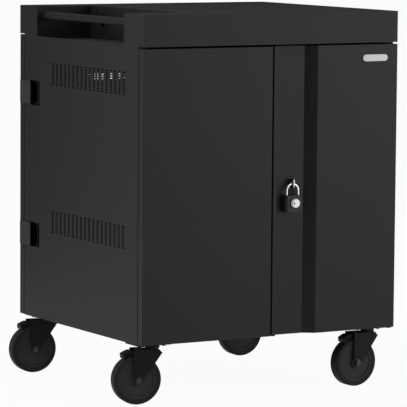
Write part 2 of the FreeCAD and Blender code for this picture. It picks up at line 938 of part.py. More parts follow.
def rear_hinge_pins():
    """Pins of the rear hinges."""
    reach = arm_height / 2 + bracket_clear + bracket_sheet
    pins = []
    for middle in (hinge_upper, hinge_lower):
        pins.append(rod(
            hinge_pin_radius, V(hinge_pin_inset, hinge_pin_y, middle - reach), ALONG_Z, reach * 2))
    return Part.Compound(pins)


def rear_lock_barrel():
    """Fixed barrel of the rear lock."""
    inner = cam_rear + cam_clear
    start = V(rear_lock_x, inner, lock_height)
    barrel = rod(barrel_radius, start, ALONG_Y, rear_face - inner)
    head = rod(barrel_head, V(rear_lock_x, rear_face, lock_height), ALONG_Y, barrel_head_thick)
    bore = rod(plug_radius + turn_clear, start - ALONG_Y * over, ALONG_Y, depth)
    return fused([barrel, head]).cut(bore)


def rear_lock_cam():
    """Turning plug of the rear lock with its cam."""
    face = rear_face + barrel_head_thick
    front = cam_rear - cam_thick
    plug = rod(plug_radius, V(rear_lock_x, cam_rear, lock_height), ALONG_Y, face - cam_rear)
    cam = block(
        rear_lock_x - cam_half, rear_lock_x + cam_half, front, cam_rear,
        lock_height - cam_tail, lock_height + cam_length)
    key = block(
        rear_lock_x - key_width / 2, rear_lock_x + key_width / 2, face - key_depth, face + over,
        lock_height - key_length / 2, lock_height + key_length / 2)
    return fused([plug, cam]).cut(key)


def caster_plate():
    """Top plate of a caster with its bearing race and kingpin."""
    plate = block(
        -plate_length / 2, plate_length / 2, -plate_width / 2, plate_width / 2, -plate_thick, 0)
    race = rod(race_radius, V(0, 0, -plate_thick - race_height), ALONG_Z, race_height)
    crown_low = crown_top - crown_thick
    head_top = crown_low - king_head_gap
    pin = rod(king_radius, V(0, 0, head_top), ALONG_Z, -plate_thick - head_top)
    head = rod(king_head, V(0, 0, head_top - king_head_height), ALONG_Z, king_head_height)
    holes = []
    for x, y in bolt_places():
        holes.append(rod(bolt_radius + bolt_clear, V(x, y, -over), ALONG_Z, over * 2))
    return fused([plate, race, pin, head]).cut(Part.Compound(holes))


def caster_bolts():
    """Four bolts of one caster."""
    top = base_sheet + backing_thick + nut_height + bolt_end
    bolts = []
    for x, y in bolt_places():
        start = V(x, y, -plate_thick - bolt_head_height)
        head = hexagon(bolt_head, start, ALONG_Z, bolt_head_height)
        shank = rod(bolt_radius, V(x, y, -plate_thick), ALONG_Z, plate_thick + top)
        bolts.append(fused([head, shank]))
    return bolts


def caster_backing():
    """Backing plate with welded nuts above the floor pan."""
    low = base_sheet
    plate = block(
        -plate_length / 2 + bolt_end, plate_length / 2 - bolt_end,
        -bolt_y - nut_radius, bolt_y + nut_radius, low, low + backing_thick)
    parts = [plate]
    holes = []
    for x, y in bolt_places():
        parts.append(hexagon(nut_radius, V(x, y, low + backing_thick), ALONG_Z, nut_height))
        holes.append(rod(bolt_radius, V(x, y, 0), ALONG_Z, over * 3))
    return fused(parts).cut(Part.Compound(holes))


def caster_fork():
    """Swivel fork: crown plate and two tapered legs."""
    left = trail + fork_end
    low = crown_top - crown_thick
    corner = V(fork_right, 0, crown_top - fork_corner)
    axle = V(-trail, 0, axle_z)
    gap = corner.sub(axle)
    turn = math.atan2(gap.z, gap.x) - math.acos(fork_end / gap.Length)
    touch = axle + V(fork_end * math.cos(turn), 0, fork_end * math.sin(turn))
    parts = [block(-crown_left, fork_shoulder, -fork_inner, fork_inner, low, crown_top)]
    for start in (-fork_inner - fork_leg, fork_inner):
        shift = V(0, start, 0)
        push = V(0, fork_leg, 0)
        parts.append(slab([
            V(-left, start, crown_top), V(fork_shoulder, start, crown_top), corner + shift,
            touch + shift, axle + shift, V(-left, start, axle_z)], push))
        parts.append(rod(fork_end, axle + shift, ALONG_Y, fork_leg))
    reach = fork_inner + fork_leg + over
    cuts = [
        rod(king_radius + turn_clear, V(0, 0, low - over), ALONG_Z, crown_thick + over * 2),
        rod(axle_radius, V(-trail, -reach, axle_z), ALONG_Y, reach * 2),
        rod(pedal_pin + turn_clear, V(-pedal_x, -reach, -pedal_drop), ALONG_Y, reach * 2)]
    return fused(parts).cut(Part.Compound(cuts))


def caster_axle():
    """Axle bolt with head and nut."""
    outer = fork_inner + fork_leg
    shank = rod(axle_radius, V(-trail, -outer, axle_z), ALONG_Y, outer * 2)
    head = hexagon(axle_head, V(-trail, -outer - axle_head_height, axle_z), ALONG_Y, axle_head_height)
    nut = hexagon(axle_head, V(-trail, outer, axle_z), ALONG_Y, axle_head_height)
    return fused([head, shank, nut])


def turned(points):
    """Solid of revolution about the axle from half-profile points (radius, offset)."""
    corners = [V(-trail + radius, offset, axle_z) for radius, offset in points]
    return Part.Face(outline(corners)).revolve(V(-trail, 0, axle_z), ALONG_Y, 360)


def caster_core():
    """Wheel core: hub, web and rim."""
    bore = axle_radius + turn_clear
    return turned([
        (bore, -hub_half), (hub_radius, -hub_half), (hub_radius, -web_half), (rim_inner, -web_half),
        (rim_inner, -rim_half), (tyre_inner, -rim_half), (tyre_inner, rim_half), (rim_inner, rim_half),
        (rim_inner, web_half), (hub_radius, web_half), (hub_radius, hub_half), (bore, hub_half)])


def caster_tyre():
    """Tyre ring with rounded shoulders."""
    ring = turned([
        (tyre_inner, -tyre_half), (tyre_radius, -tyre_half),
        (tyre_radius, tyre_half), (tyre_inner, tyre_half)])
    outer = tyre_radius - tyre_round
    return rounded(
        ring, tyre_round,
        lambda edge, middle: edge.BoundBox.ZLength > outer * 2 and edge.BoundBox.YLength < tyre_round)


def pedal_corners(shares, side):
    """Corners of a pedal outline on one side plane."""
    corners = []
    for share_x, share_z in shares:
        corners.append(V(-pedal_x - share_x * pedal_unit, side, -pedal_drop + share_z * pedal_unit))
    return corners


def caster_pedal():
    """Brake lever: a toe loop above and a shoe over the tyre."""
    lever = slab(pedal_corners(pedal_outline_shares, -pedal_half), V(0, pedal_half * 2, 0))
    reach = pedal_half + over
    window = slab(pedal_corners(pedal_window_shares, -reach), V(0, reach * 2, 0))
    lug = rod(pedal_lug, V(-pedal_x, -pedal_half, -pedal_drop), ALONG_Y, pedal_half * 2)
    outer = fork_inner + fork_leg
    pin = rod(pedal_pin, V(-pedal_x, -outer, -pedal_drop), ALONG_Y, outer * 2)
    return fused([lever.cut(window), lug, pin])


def placed(shape, x, y, turn):
    """Copy of a caster piece turned and moved to its kingpin."""
    copy = shape.copy()
    copy.rotate(V(0, 0, 0), ALONG_Z, turn)
    copy.translate(V(x, y, 0))
    return copy


def build_body():
    """Fixed pieces of the cabinet."""
    keep("left_side", left_side())
    keep("right_side", right_side())
    keep("hood", hood())
    keep("well_tray", well_tray())
    keep("handle_bar", handle_bar())
    keep("base_pan", base_pan())
    keep("inner_roof", tray_sheet(
        sheet, width - sheet, inside_front, inside_rear, roof_low, sheet, roof_flange, False))
    keep("partition", partition())
    keep("mid_shelf", tray_sheet(
        sheet, width - sheet, inside_front, partition_back, shelf_height, sheet, roof_flange, False))
    keep("lower_dividers", dividers(base_sheet))
    keep("upper_dividers", dividers(shelf_height + sheet))
    keep("power_strip", power_strip())
    keep("strip_rocker", strip_rocker())
    keep("controller_cover", controller_cover())
    keep("power_inlet", power_inlet())
    keep("inlet_pins", inlet_pins())
    keep("inlet_screws", inlet_screws())
    keep("breaker_housing", breaker_housing())
    keep("breaker_button", breaker_button())
    keep("pivot_plates", pivot_plates())
    keep("hinge_brackets", rear_hinge_brackets())
    keep("hinge_pins", rear_hinge_pins())


def build_doors():
    """Doors with what rides on them."""
    keep("left_door_pan", left_door_pan())
    keep("left_door_stiffener", stiffener(split_left / 2))
    keep("left_door_pins", door_pins(pivot_inset))
    keep("right_door_pan", right_door_pan())
    keep("right_door_stiffener", stiffener((split_right + strip_width + slant_width + width) / 2))
    keep("right_door_pins", door_pins(width - pivot_inset))
    keep("badge", badge())
    keep("hasp_staple", hasp_staple())
    keep("padlock_shackle", padlock_shackle())
    keep("padlock_body", padlock_body())
    keep("padlock_dial", padlock_dial())
    keep("rear_door_pan", rear_door_pan())
    keep("rear_hinge_arms", rear_hinge_arms())
    keep("rear_lock_barrel", rear_lock_barrel())
    keep("rear_lock_cam", rear_lock_cam())


def build_casters():
    """Casters, with plates, bolts and backing plates as groups."""
    groups = {"caster_plates": [], "caster_bolts": [], "caster_backing": []}
    single = {
        "fork": caster_fork(), "axle": caster_axle(), "core": caster_core(),
        "tyre": caster_tyre(), "pedal": caster_pedal()}
    plate = caster_plate()
    backing = caster_backing()
    bolts = caster_bolts()
    for name, (x, y, turn) in caster_places().items():
        groups["caster_plates"].append(placed(plate, x, y, 0))
        groups["caster_backing"].append(placed(backing, x, y, 0))
        groups["caster_bolts"].extend(placed(bolt, x, y, 0) for bolt in bolts)
        for piece, shape in single.items():
            keep(f"{piece}_{name}", placed(shape, x, y, turn))
    for name, shapes in groups.items():
        keep(name, Part.Compound(shapes))


def wheel_reach(turn):
    """How far a trailing wheel reaches to the left of its kingpin."""
    angle = math.radians(abs(turn))
    along = (trail + tyre_radius - tyre_round) * math.cos(angle)
    return along + (tyre_half - tyre_round) * math.sin(angle) + tyre_round


def frame_shift():
    """Move from the body corner to the middle of the bounding box on the floor."""
    left = king_x - max(wheel_reach(caster_turn_shares["fl"]), wheel_reach(caster_turn_shares["rl"]))
    front = padlock_front - dial_gap - dial_thick
    return V(-(left + width) / 2, -(front + depth) / 2, ground)


def main():
    """Build every node and write it."""
    build_body()
    build_doors()
    build_casters()
    shift = frame_shift()
    for name, shape in built.items():
        shape.translate(shift)
        shape.exportStep(f"parts/{name}.step")
    print("shift", tuple(shift), "nodes", len(built))


main()
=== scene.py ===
"""Looks of the charging cabinet: finishes, small trim, studio and camera."""
from __future__ import annotations

import json
import logging
import math
from dataclasses import dataclass
from enum import Enum

import bmesh
import bpy
from mathutils import Matrix, Vector


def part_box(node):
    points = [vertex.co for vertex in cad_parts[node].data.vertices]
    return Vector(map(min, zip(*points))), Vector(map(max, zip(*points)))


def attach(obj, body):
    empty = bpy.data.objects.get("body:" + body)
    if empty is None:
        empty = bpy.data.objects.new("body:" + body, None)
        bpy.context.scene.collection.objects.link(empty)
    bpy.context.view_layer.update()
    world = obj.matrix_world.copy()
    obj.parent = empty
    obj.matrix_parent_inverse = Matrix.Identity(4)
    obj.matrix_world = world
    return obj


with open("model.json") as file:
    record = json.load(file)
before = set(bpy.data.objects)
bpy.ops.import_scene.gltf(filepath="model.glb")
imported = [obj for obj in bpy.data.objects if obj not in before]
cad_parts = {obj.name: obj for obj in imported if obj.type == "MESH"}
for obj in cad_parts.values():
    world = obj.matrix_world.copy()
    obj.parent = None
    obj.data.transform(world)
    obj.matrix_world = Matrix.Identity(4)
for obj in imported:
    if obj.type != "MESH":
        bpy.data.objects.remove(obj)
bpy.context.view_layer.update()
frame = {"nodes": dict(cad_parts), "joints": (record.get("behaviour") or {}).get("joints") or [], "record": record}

LOG = logging.getLogger("charging_cabinet")
PATCH_DETAIL = 4.0
GRAIN_DETAIL = 3.0
GRAIN_STRENGTH = 0.6
BEVEL_STEPS = 2
ROUND_SIDES = 48
SIDE_CORNERS = 4
WHITE = (1.0, 1.0, 1.0, 1.0)
Colour = tuple[float, float, float]
Point = tuple[float, float, float]
Pair = tuple[float, float]


class Surface(Enum):
    """Finish slots of the record."""

    CABINET = "cabinet_paint"
    HANDLE = "handle_paint"
    HINGE = "hinge_paint"
    DIVIDER = "divider_plastic"
    STRIP = "strip_plastic"
    ROCKER = "rocker_plastic"
    COVER = "cover_paint"
    INLET = "inlet_plastic"
    CONTACT = "contact_brass"
    SCREW = "screw_steel"
    BLACK_SCREW = "black_screw"
    BREAKER = "breaker_plastic"
    BUTTON = "button_plastic"
    BADGE = "badge_metal"
    STAPLE = "staple_steel"
    SHACKLE = "shackle_chrome"
    PADLOCK = "padlock_case"
    DIAL = "dial_metal"
    LOCK = "lock_chrome"
    CASTER = "caster_steel"
    AXLE = "axle_steel"
    CORE = "core_plastic"
    TYRE = "tyre_rubber"
    PEDAL = "pedal_paint"


class Corner(Enum):
    """Casters by their corner of the cabinet."""

    FRONT_LEFT = "fl"
    FRONT_RIGHT = "fr"
    REAR_LEFT = "rl"
    REAR_RIGHT = "rr"


@dataclass(frozen=True)
class Finish:
    """A surface with a base colour, uneven gloss and a fine grain.

    Attributes:
        colour: Base colour, linear.
        tint: Second colour that cloudy patches drift towards.
        rough: Least and greatest roughness.
        grain: Grain texture scale, per metre.
        depth: Height of the grain, in metres.
        cloud: Scale of the cloudy patches, per metre.
        metallic: Metal share of the shader.
        specular: Specular level of the shader.
        stretch: Scale of the grain along X, Y and Z, to draw it out.
        shade_from: Place along X past which the colour turns to painted shade, if it does.
        shade_colour: Colour of the painted shade.
    """

    colour: Colour
    tint: Colour
    rough: Pair
    grain: float = 900.0
    depth: float = 0.00004
    cloud: float = 9.0
    metallic: float = 0.0
    specular: float = 0.2
    stretch: Point = (1.0, 1.0, 1.0)
    # Painted shade: where along X the colour turns dark, and how dark it turns.
    shade_from: float | None = None
    shade_colour: Colour = (0.0015, 0.0015, 0.0015)

    def material(self, name: str) -> bpy.types.Material:
        """Make the material.

        Args:
            name: Name of the new material.

        Returns:
            The material, patterned on object coordinates.
        """
        made = bpy.data.materials.new(name)
        made.use_nodes = True
        nodes, links = made.node_tree.nodes, made.node_tree.links
        shader = nodes["Principled BSDF"]
        shader.inputs["Metallic"].default_value = self.metallic
        shader.inputs["Specular IOR Level"].default_value = self.specular
        place = nodes.new("ShaderNodeTexCoord")
        turn = nodes.new("ShaderNodeMapping")
        turn.inputs["Scale"].default_value = self.stretch
        links.new(place.outputs["Object"], turn.inputs["Vector"])

        patches = nodes.new("ShaderNodeTexNoise")
        patches.inputs["Scale"].default_value = self.cloud
        patches.inputs["Detail"].default_value = PATCH_DETAIL
        links.new(place.outputs["Object"], patches.inputs["Vector"])
        blend = nodes.new("ShaderNodeMix")
        blend.data_type = "RGBA"
        blend.inputs["A"].default_value = (*self.colour, 1.0)
        blend.inputs["B"].default_value = (*self.tint, 1.0)
        links.new(patches.outputs["Fac"], blend.inputs["Factor"])
        paint = blend.outputs["Result"]
        # Painted shade: past a place along X the colour turns near black, standing for the shade on the hinge
        # strips inside the side slots.
        if self.shade_from is not None:
            split = nodes.new("ShaderNodeSeparateXYZ")
            links.new(place.outputs["Object"], split.inputs["Vector"])
            past = nodes.new("ShaderNodeMath")
            past.operation = "GREATER_THAN"
            past.inputs[1].default_value = self.shade_from
            links.new(split.outputs["X"], past.inputs[0])
            strip = nodes.new("ShaderNodeMix")
            strip.data_type = "RGBA"
            strip.inputs["B"].default_value = (*self.shade_colour, 1.0)
            links.new(past.outputs[0], strip.inputs["Factor"])
            links.new(paint, strip.inputs["A"])
            paint = strip.outputs["Result"]
        links.new(paint, shader.inputs["Base Color"])

        grit = nodes.new("ShaderNodeTexNoise")
        grit.inputs["Scale"].default_value = self.grain
        grit.inputs["Detail"].default_value = GRAIN_DETAIL
        links.new(turn.outputs["Vector"], grit.inputs["Vector"])
        gloss = nodes.new("ShaderNodeMapRange")
        gloss.inputs["To Min"].default_value = self.rough[0]
        gloss.inputs["To Max"].default_value = self.rough[1]
        links.new(patches.outputs["Fac"], gloss.inputs["Value"])
        links.new(gloss.outputs["Result"], shader.inputs["Roughness"])
        bump = nodes.new("ShaderNodeBump")
        bump.inputs["Strength"].default_value = GRAIN_STRENGTH
        bump.inputs["Distance"].default_value = self.depth
        links.new(grit.outputs["Fac"], bump.inputs["Height"])
        links.new(bump.outputs["Normal"], shader.inputs["Normal"])
        return made


FINISHES: dict[Surface, Finish] = {
    Surface.CABINET: Finish((0.0062, 0.0069, 0.0071), (0.0075, 0.0083, 0.0085), (0.46, 0.52), grain=1400.0,
                            specular=0.19),
    Surface.HANDLE: Finish((0.0104, 0.0107, 0.0112), (0.0128, 0.0131, 0.0136), (0.46, 0.54), grain=1200.0,
                           specular=0.1),
    # Hinge: painted shade on the strips inside the side slots, past the given X.
    Surface.HINGE: Finish((0.0245, 0.025, 0.0255), (0.030, 0.0305, 0.031), (0.46, 0.56), grain=1000.0,
                          specular=0.1, shade_from=-0.3572),
    Surface.DIVIDER: Finish((0.050, 0.051, 0.054), (0.058, 0.059, 0.062), (0.45, 0.56), grain=700.0),
    Surface.STRIP: Finish((0.018, 0.018, 0.019), (0.022, 0.022, 0.023), (0.42, 0.52), grain=800.0),
    Surface.ROCKER: Finish((0.012, 0.012, 0.013), (0.016, 0.016, 0.017), (0.16, 0.26), grain=500.0),
    Surface.COVER: Finish((0.060, 0.061, 0.064), (0.070, 0.071, 0.074), (0.42, 0.52), grain=1200.0),
    Surface.INLET: Finish((0.008, 0.008, 0.009), (0.011, 0.011, 0.012), (0.42, 0.55), grain=900.0),
    Surface.CONTACT: Finish((0.62, 0.44, 0.18), (0.55, 0.38, 0.15), (0.22, 0.34), metallic=1.0),
    Surface.SCREW: Finish((0.32, 0.32, 0.33), (0.24, 0.24, 0.25), (0.26, 0.40), metallic=1.0, grain=1500.0),
    Surface.BLACK_SCREW: Finish((0.0020, 0.0020, 0.0021), (0.0030, 0.0030, 0.0031), (0.46, 0.58),
                                grain=1500.0, specular=0.06),
    Surface.BREAKER: Finish((0.012, 0.012, 0.013), (0.016, 0.016, 0.017), (0.40, 0.52), grain=900.0),
    Surface.BUTTON: Finish((0.016, 0.016, 0.017), (0.020, 0.020, 0.021), (0.22, 0.34), grain=600.0),
    Surface.BADGE: Finish((0.38, 0.385, 0.39), (0.34, 0.345, 0.35), (0.50, 0.60), metallic=1.0, grain=2600.0,
                          stretch=(0.04, 1.0, 1.0), depth=0.00002),
    Surface.STAPLE: Finish((0.34, 0.34, 0.35), (0.28, 0.28, 0.29), (0.26, 0.38), metallic=1.0, grain=1600.0),
    Surface.SHACKLE: Finish((0.60, 0.60, 0.61), (0.54, 0.54, 0.56), (0.08, 0.16), metallic=1.0,
                            depth=0.00001),
    Surface.PADLOCK: Finish((0.020, 0.020, 0.021), (0.026, 0.026, 0.027), (0.34, 0.46), grain=1300.0,
                            specular=0.15),
    Surface.DIAL: Finish((0.80, 0.80, 0.81), (0.74, 0.74, 0.75), (0.52, 0.60), metallic=0.4, grain=1800.0,
                         depth=0.00001),
    Surface.LOCK: Finish((0.70, 0.70, 0.72), (0.60, 0.60, 0.62), (0.14, 0.24), metallic=1.0, depth=0.00001),
    Surface.CASTER: Finish((0.0062, 0.0062, 0.0065), (0.0080, 0.0080, 0.0083), (0.50, 0.60), grain=1000.0,
                           specular=0.1),
    Surface.AXLE: Finish((0.050, 0.050, 0.052), (0.036, 0.036, 0.038), (0.36, 0.50), metallic=1.0,
                         grain=1500.0),
    Surface.CORE: Finish((0.0275, 0.0275, 0.0284), (0.0360, 0.0360, 0.0371), (0.52, 0.62), grain=700.0,
                         specular=0.1),
    Surface.TYRE: Finish((0.0135, 0.0135, 0.0140), (0.0185, 0.0185, 0.0192), (0.56, 0.70), grain=500.0,
                         depth=0.00008, specular=0.1),
    Surface.PEDAL: Finish((0.0045, 0.0045, 0.0047), (0.0065, 0.0065, 0.0068), (0.46, 0.56), grain=900.0,
                          specular=0.1),
}


class Paintshop:
    """Makes each finish once and hands it out."""

    def __init__(self) -> None:
        """Start with no material made."""
        self._made: dict[Surface, bpy.types.Material] = {}

    def get(self, surface: Surface) -> bpy.types.Material:
        """Give the material of a slot.

        Args:
            surface: Slot of the record.

        Returns:
            Its material.
        """
        if surface not in self._made:
            self._made[surface] = FINISHES[surface].material(surface.value)
        return self._made[surface]

    def dress_nodes(self, nodes: dict[str, bpy.types.Object], record: dict) -> None:
        """Put the finishes on the modelled nodes.

        Args:
            nodes: Node objects by name.
            record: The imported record, which names each node's slot.
        """
        for entry in record["subparts"]:
            data = nodes[entry["node"]].data
            data.materials.clear()
            data.materials.append(self.get(Surface(entry["material_slot"])))


@dataclass
class SubAssembly:
    """A group of small pieces that ride on one body.

    Attributes:
        shop: Where the finishes come from.
        body: Body that carries the pieces.
    """

    shop: Paintshop
    body: str

    def piece(self, name: str, shape: bmesh.types.BMesh, surface: Surface) -> bpy.types.Object:
        """Turn a shape into a finished piece on the body.

        Args:
            name: Name of the piece.
            shape: Shape in the shared frame, freed here.
            surface: Slot that it takes its finish from.

        Returns:
            The new object.
        """
        bmesh.ops.recalc_face_normals(shape, faces=shape.faces)
        data = bpy.data.meshes.new(name)
        shape.to_mesh(data)
        shape.free()
        data.materials.append(self.shop.get(surface))
        made = bpy.data.objects.new(name, data)
        bpy.context.scene.collection.objects.link(made)
        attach(made, self.body)
        LOG.info("%s rides on %s", name, self.body)
        return made

    @staticmethod
    def add_box(shape: bmesh.types.BMesh, low: Vector, high: Vector) -> None:
        """Add a box between two corners.

        Args:
            shape: Shape to add to.
            low: Lowest corner.
            high: Highest corner.
        """
        span = high - low
        put = Matrix.Translation((low + high) / 2) @ Matrix.Diagonal((*span, 1.0))
        bmesh.ops.create_cube(shape, size=1.0, matrix=put)

    @staticmethod
    def add_disc(shape: bmesh.types.BMesh, centre: Vector, axis: Vector, radius: float, thick: float,
                 ease: float) -> None:
        """Add a round disc, its thickness centred on a point.

        Args:
            shape: Shape to add to.
            centre: Middle of the disc.
            axis: Direction of its axis.
            radius: Radius.
            thick: Thickness along the axis.
            ease: Rounding of its rims.
        """
        turn = axis.to_track_quat("Z", "Y").to_matrix().to_4x4()
        corners = bmesh.ops.create_cone(
            shape, cap_ends=True, segments=ROUND_SIDES, radius1=radius, radius2=radius, depth=thick,
            matrix=Matrix.Translation(centre) @ turn)["verts"]
        caps = {face for corner in corners for face in corner.link_faces if len(face.verts) > SIDE_CORNERS}
        edges = list({edge for face in caps for edge in face.edges})
        bmesh.ops.bevel(shape, geom=edges, offset=ease, segments=BEVEL_STEPS, profile=0.5,
                        affect="EDGES", material=-1)


@dataclass
class Padlock(SubAssembly):
    """Marks on the dial of the padlock.

    Attributes:
        tick_count: Ticks round the dial.
        tick_long: Length of a tick.
        tick_wide: Width of a tick.
        tick_share: Outer end of a tick as a share of the dial's radius.
        proud: How far marks stand proud.
        mark_long: Length of the dark mark.
        mark_wide: Width of the dark mark.
        mark_share: Place of the mark as a share of the dial's radius.
    """

    tick_count: int = 20
    tick_long: float = 0.0020
    tick_wide: float = 0.0005
    tick_share: float = 0.84
    proud: float = 0.00004
    mark_long: float = 0.0062
    mark_wide: float = 0.0034
    mark_share: float = 0.46

    def build(self) -> None:
        """Build the dial marks."""
        low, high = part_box("padlock_dial")
        radius = (high.x - low.x) / 2
        centre = Vector(((low.x + high.x) / 2, low.y, (low.z + high.z) / 2))
        self.dial_ticks(centre, radius)
        self.dial_pointer(centre, radius)

    def dial_ticks(self, centre: Vector, radius: float) -> None:
        """Ring of ticks on the face of the dial.

        Args:
            centre: Middle of the dial face.
            radius: Radius of the dial.
        """
        shape = bmesh.new()
        reach = radius * self.tick_share - self.tick_long / 2
        for step in range(self.tick_count):
            turn = Matrix.Rotation(math.tau * step / self.tick_count, 4, "Y")
            put = (Matrix.Translation(centre) @ turn @ Matrix.Translation((0, 0, reach))
                   @ Matrix.Diagonal((self.tick_wide, self.proud * 2, self.tick_long, 1.0)))
            bmesh.ops.create_cube(shape, size=1.0, matrix=put)
        self.piece("dial_ticks", shape, Surface.PADLOCK)

    def dial_pointer(self, centre: Vector, radius: float) -> None:
        """Short dark mark beside the middle of the dial.

        Args:
            centre: Middle of the dial face.
            radius: Radius of the dial.
        """
        shape = bmesh.new()
        half = Vector((self.mark_wide / 2, self.proud, self.mark_long / 2))
        spot = centre + Vector((-radius * self.mark_share, 0, 0))
        self.add_box(shape, spot - half, spot + half)
        self.piece("dial_pointer", shape, Surface.PADLOCK)


@dataclass
class StapleShade(SubAssembly):
    """Dark sheet of painted shade in the slot above the staple.

    Attributes:
        reach: How far the plate of the staple reaches past its tab.
        slot: Height of the slot above the tab.
        half: Half the width of the slot.
        plate: Thickness of the plate.
        shade_face: How far the face of the dark sheet stands off the plate.
        lift: How far its back stands off the plate.
    """

    reach: float = 0.012
    slot: float = 0.0058
    half: float = 0.0026
    plate: float = 0.002
    shade_face: float = 0.0003
    lift: float = 0.00003

    def build(self) -> None:
        """Lay the dark sheet of painted shade on the plate where the slot leaves it open."""
        low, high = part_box("hasp_staple")
        middle = (low.x + high.x) / 2
        top = high.z - self.reach
        back = high.y - self.plate
        # Painted shade: a black sheet on the plate, in the black plastic finish, stands for the shade inside the
        # slot above the staple.
        shape = bmesh.new()
        self.add_box(shape, Vector((middle - self.half, back - self.shade_face, top + self.shade_face)),
                     Vector((middle + self.half, back - self.lift, top + self.slot)))
        self.piece("staple_shade", shape, Surface.INLET)


@dataclass
class BadgeTrim(SubAssembly):
    """Raised rim round the plain badge.

    Attributes:
        rim: Width of the rim.
        proud: How far it stands proud.
        middle_share: Points nearer the middle than this share of the radius stay there.
    """

    rim: float = 0.0012
    proud: float = 0.0003
    middle_share: float = 0.01

    def build(self) -> None:
        """Build the rim from the outline of the badge."""
        low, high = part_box("badge")
        radius = (high.z - low.z) / 2
        shape = bmesh.new()
        middle = Vector(((low.x + high.x) / 2, low.y, (low.z + high.z) / 2))
        turn = Matrix.Rotation(math.pi / 2, 4, "X")
        ring = bmesh.ops.create_circle(
            shape, cap_ends=True, segments=ROUND_SIDES, radius=radius,
            matrix=Matrix.Translation(middle) @ turn)["verts"]
        stretch = (high.x - low.x) / 2 - radius
        for corner in ring:
            side = corner.co.x - middle.x
            corner.co.x += math.copysign(stretch, side) if abs(side) > radius * self.middle_share else 0.0
        face = shape.faces[:]
        bmesh.ops.inset_region(
            shape, faces=face, thickness=self.rim, depth=0.0, use_boundary=True, use_even_offset=True)
        inner = max(shape.faces, key=lambda item: item.calc_area())
        rim = [item for item in shape.faces if item is not inner]
        bmesh.ops.delete(shape, geom=[inner], context="FACES_ONLY")
        grown = bmesh.ops.extrude_face_region(shape, geom=rim)["geom"]
        bmesh.ops.translate(shape, vec=(0, -self.proud, 0),
                            verts=[item for item in grown if isinstance(item, bmesh.types.BMVert)])
        self.piece("badge_rim", shape, Surface.BADGE)


@dataclass(frozen=True)
class ContactSlot:
    """One slot of an outlet.

    Attributes:
        side: Place to the side of the outlet's middle.
        rise: Place above the outlet's middle.
        half_wide: Half its width.
        half_high: Half its height.
    """

    side: float
    rise: float
    half_wide: float
    half_high: float


OUTLET_SLOTS: tuple[ContactSlot, ...] = (
    ContactSlot(side=-0.0055, rise=0.002, half_wide=0.0008, half_high=0.0040),
    ContactSlot(side=0.0055, rise=0.002, half_wide=0.0008, half_high=0.0034),
    ContactSlot(side=0.0, rise=-0.006, half_wide=0.0022, half_high=0.0022),
)


@dataclass
class PowerParts(SubAssembly):
    """Outlet slots of the power strip.

    Attributes:
        first: Height of the lowest outlet above the strip's lower end.
        pitch: Distance between outlets.
        count: Number of outlets.
        recess: Depth of an outlet recess.
        proud: How far a slot plate stands proud of the recess.
    """

    first: float = 0.040
    pitch: float = 0.048
    count: int = 10
    recess: float = 0.003
    proud: float = 0.0002

    def build(self) -> None:
        """Build the blade slots of every outlet."""
        low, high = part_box("power_strip")
        shape = bmesh.new()
        face = high.y - self.recess
        middle = (low.x + high.x) / 2
        for step in range(self.count):
            height = low.z + self.first + step * self.pitch
            for slot in OUTLET_SLOTS:
                spot = Vector((middle + slot.side, face, height + slot.rise))
                half = Vector((slot.half_wide, self.proud, slot.half_high))
                self.add_box(shape, spot - half, spot + half)
        self.piece("outlet_slots", shape, Surface.INLET)


@dataclass
class CasterTrim(SubAssembly):
    """Axle washers of one caster.

    Attributes:
        corner: Which caster it is.
        fork_half: Half the width over the fork's legs.
        washer_radius: Radius of a washer.
        washer_thick: Thickness of a washer.
        washer_ease: Rounding of its rims.
    """

    corner: Corner = Corner.FRONT_LEFT
    fork_half: float = 0.0225
    washer_radius: float = 0.0094
    washer_thick: float = 0.0012
    washer_ease: float = 0.0003

    def build(self) -> None:
        """Build the washers under the axle head and nut."""
        low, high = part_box(f"axle_{self.corner.value}")
        centre = (low + high) / 2
        joint = next(item for item in frame["joints"] if item["name"] == f"roll_{self.corner.value}")
        axis = Vector(joint["axis"])
        shape = bmesh.new()
        for side in (-1, 1):
            spot = centre + axis * side * (self.fork_half + self.washer_thick / 2)
            self.add_disc(shape, spot, axis, self.washer_radius, self.washer_thick, self.washer_ease)
        self.piece(f"axle_washers_{self.corner.value}", shape, Surface.AXLE)


@dataclass(frozen=True)
class Softbox:
    """A lamp that faces a point.

    Attributes:
        name: Name of the lamp.
        place: Where it stands.
        target: Point that it faces.
        size: Width and height.
        power: Power in watts.
    """

    name: str
    place: Point
    target: Point
    size: Pair
    power: float


@dataclass(frozen=True)
class Flag:
    """A dark cloth that only the glossy faces mirror.

    Attributes:
        name: Name of the cloth.
        place: Its middle.
        half: Half its width and half its height.
        grey: Grey of the cloth.
    """

    name: str
    place: Vector
    half: Pair
    grey: float = 0.03


SOFTBOXES: tuple[Softbox, ...] = (
    Softbox("key_softbox", place=(2.4, -3.0, 1.0), target=(0.3, -0.3, 0.5), size=(2.8, 2.5), power=50.0),
    Softbox("side_softbox", place=(-3.0, 0.0, 1.5), target=(-0.4, 0.0, 0.5), size=(1.6, 2.0), power=48.0),
    Softbox("top_softbox", place=(0.4, 0.6, 3.6), target=(0.0, 0.0, 0.9), size=(2.2, 2.2), power=3.0),
)


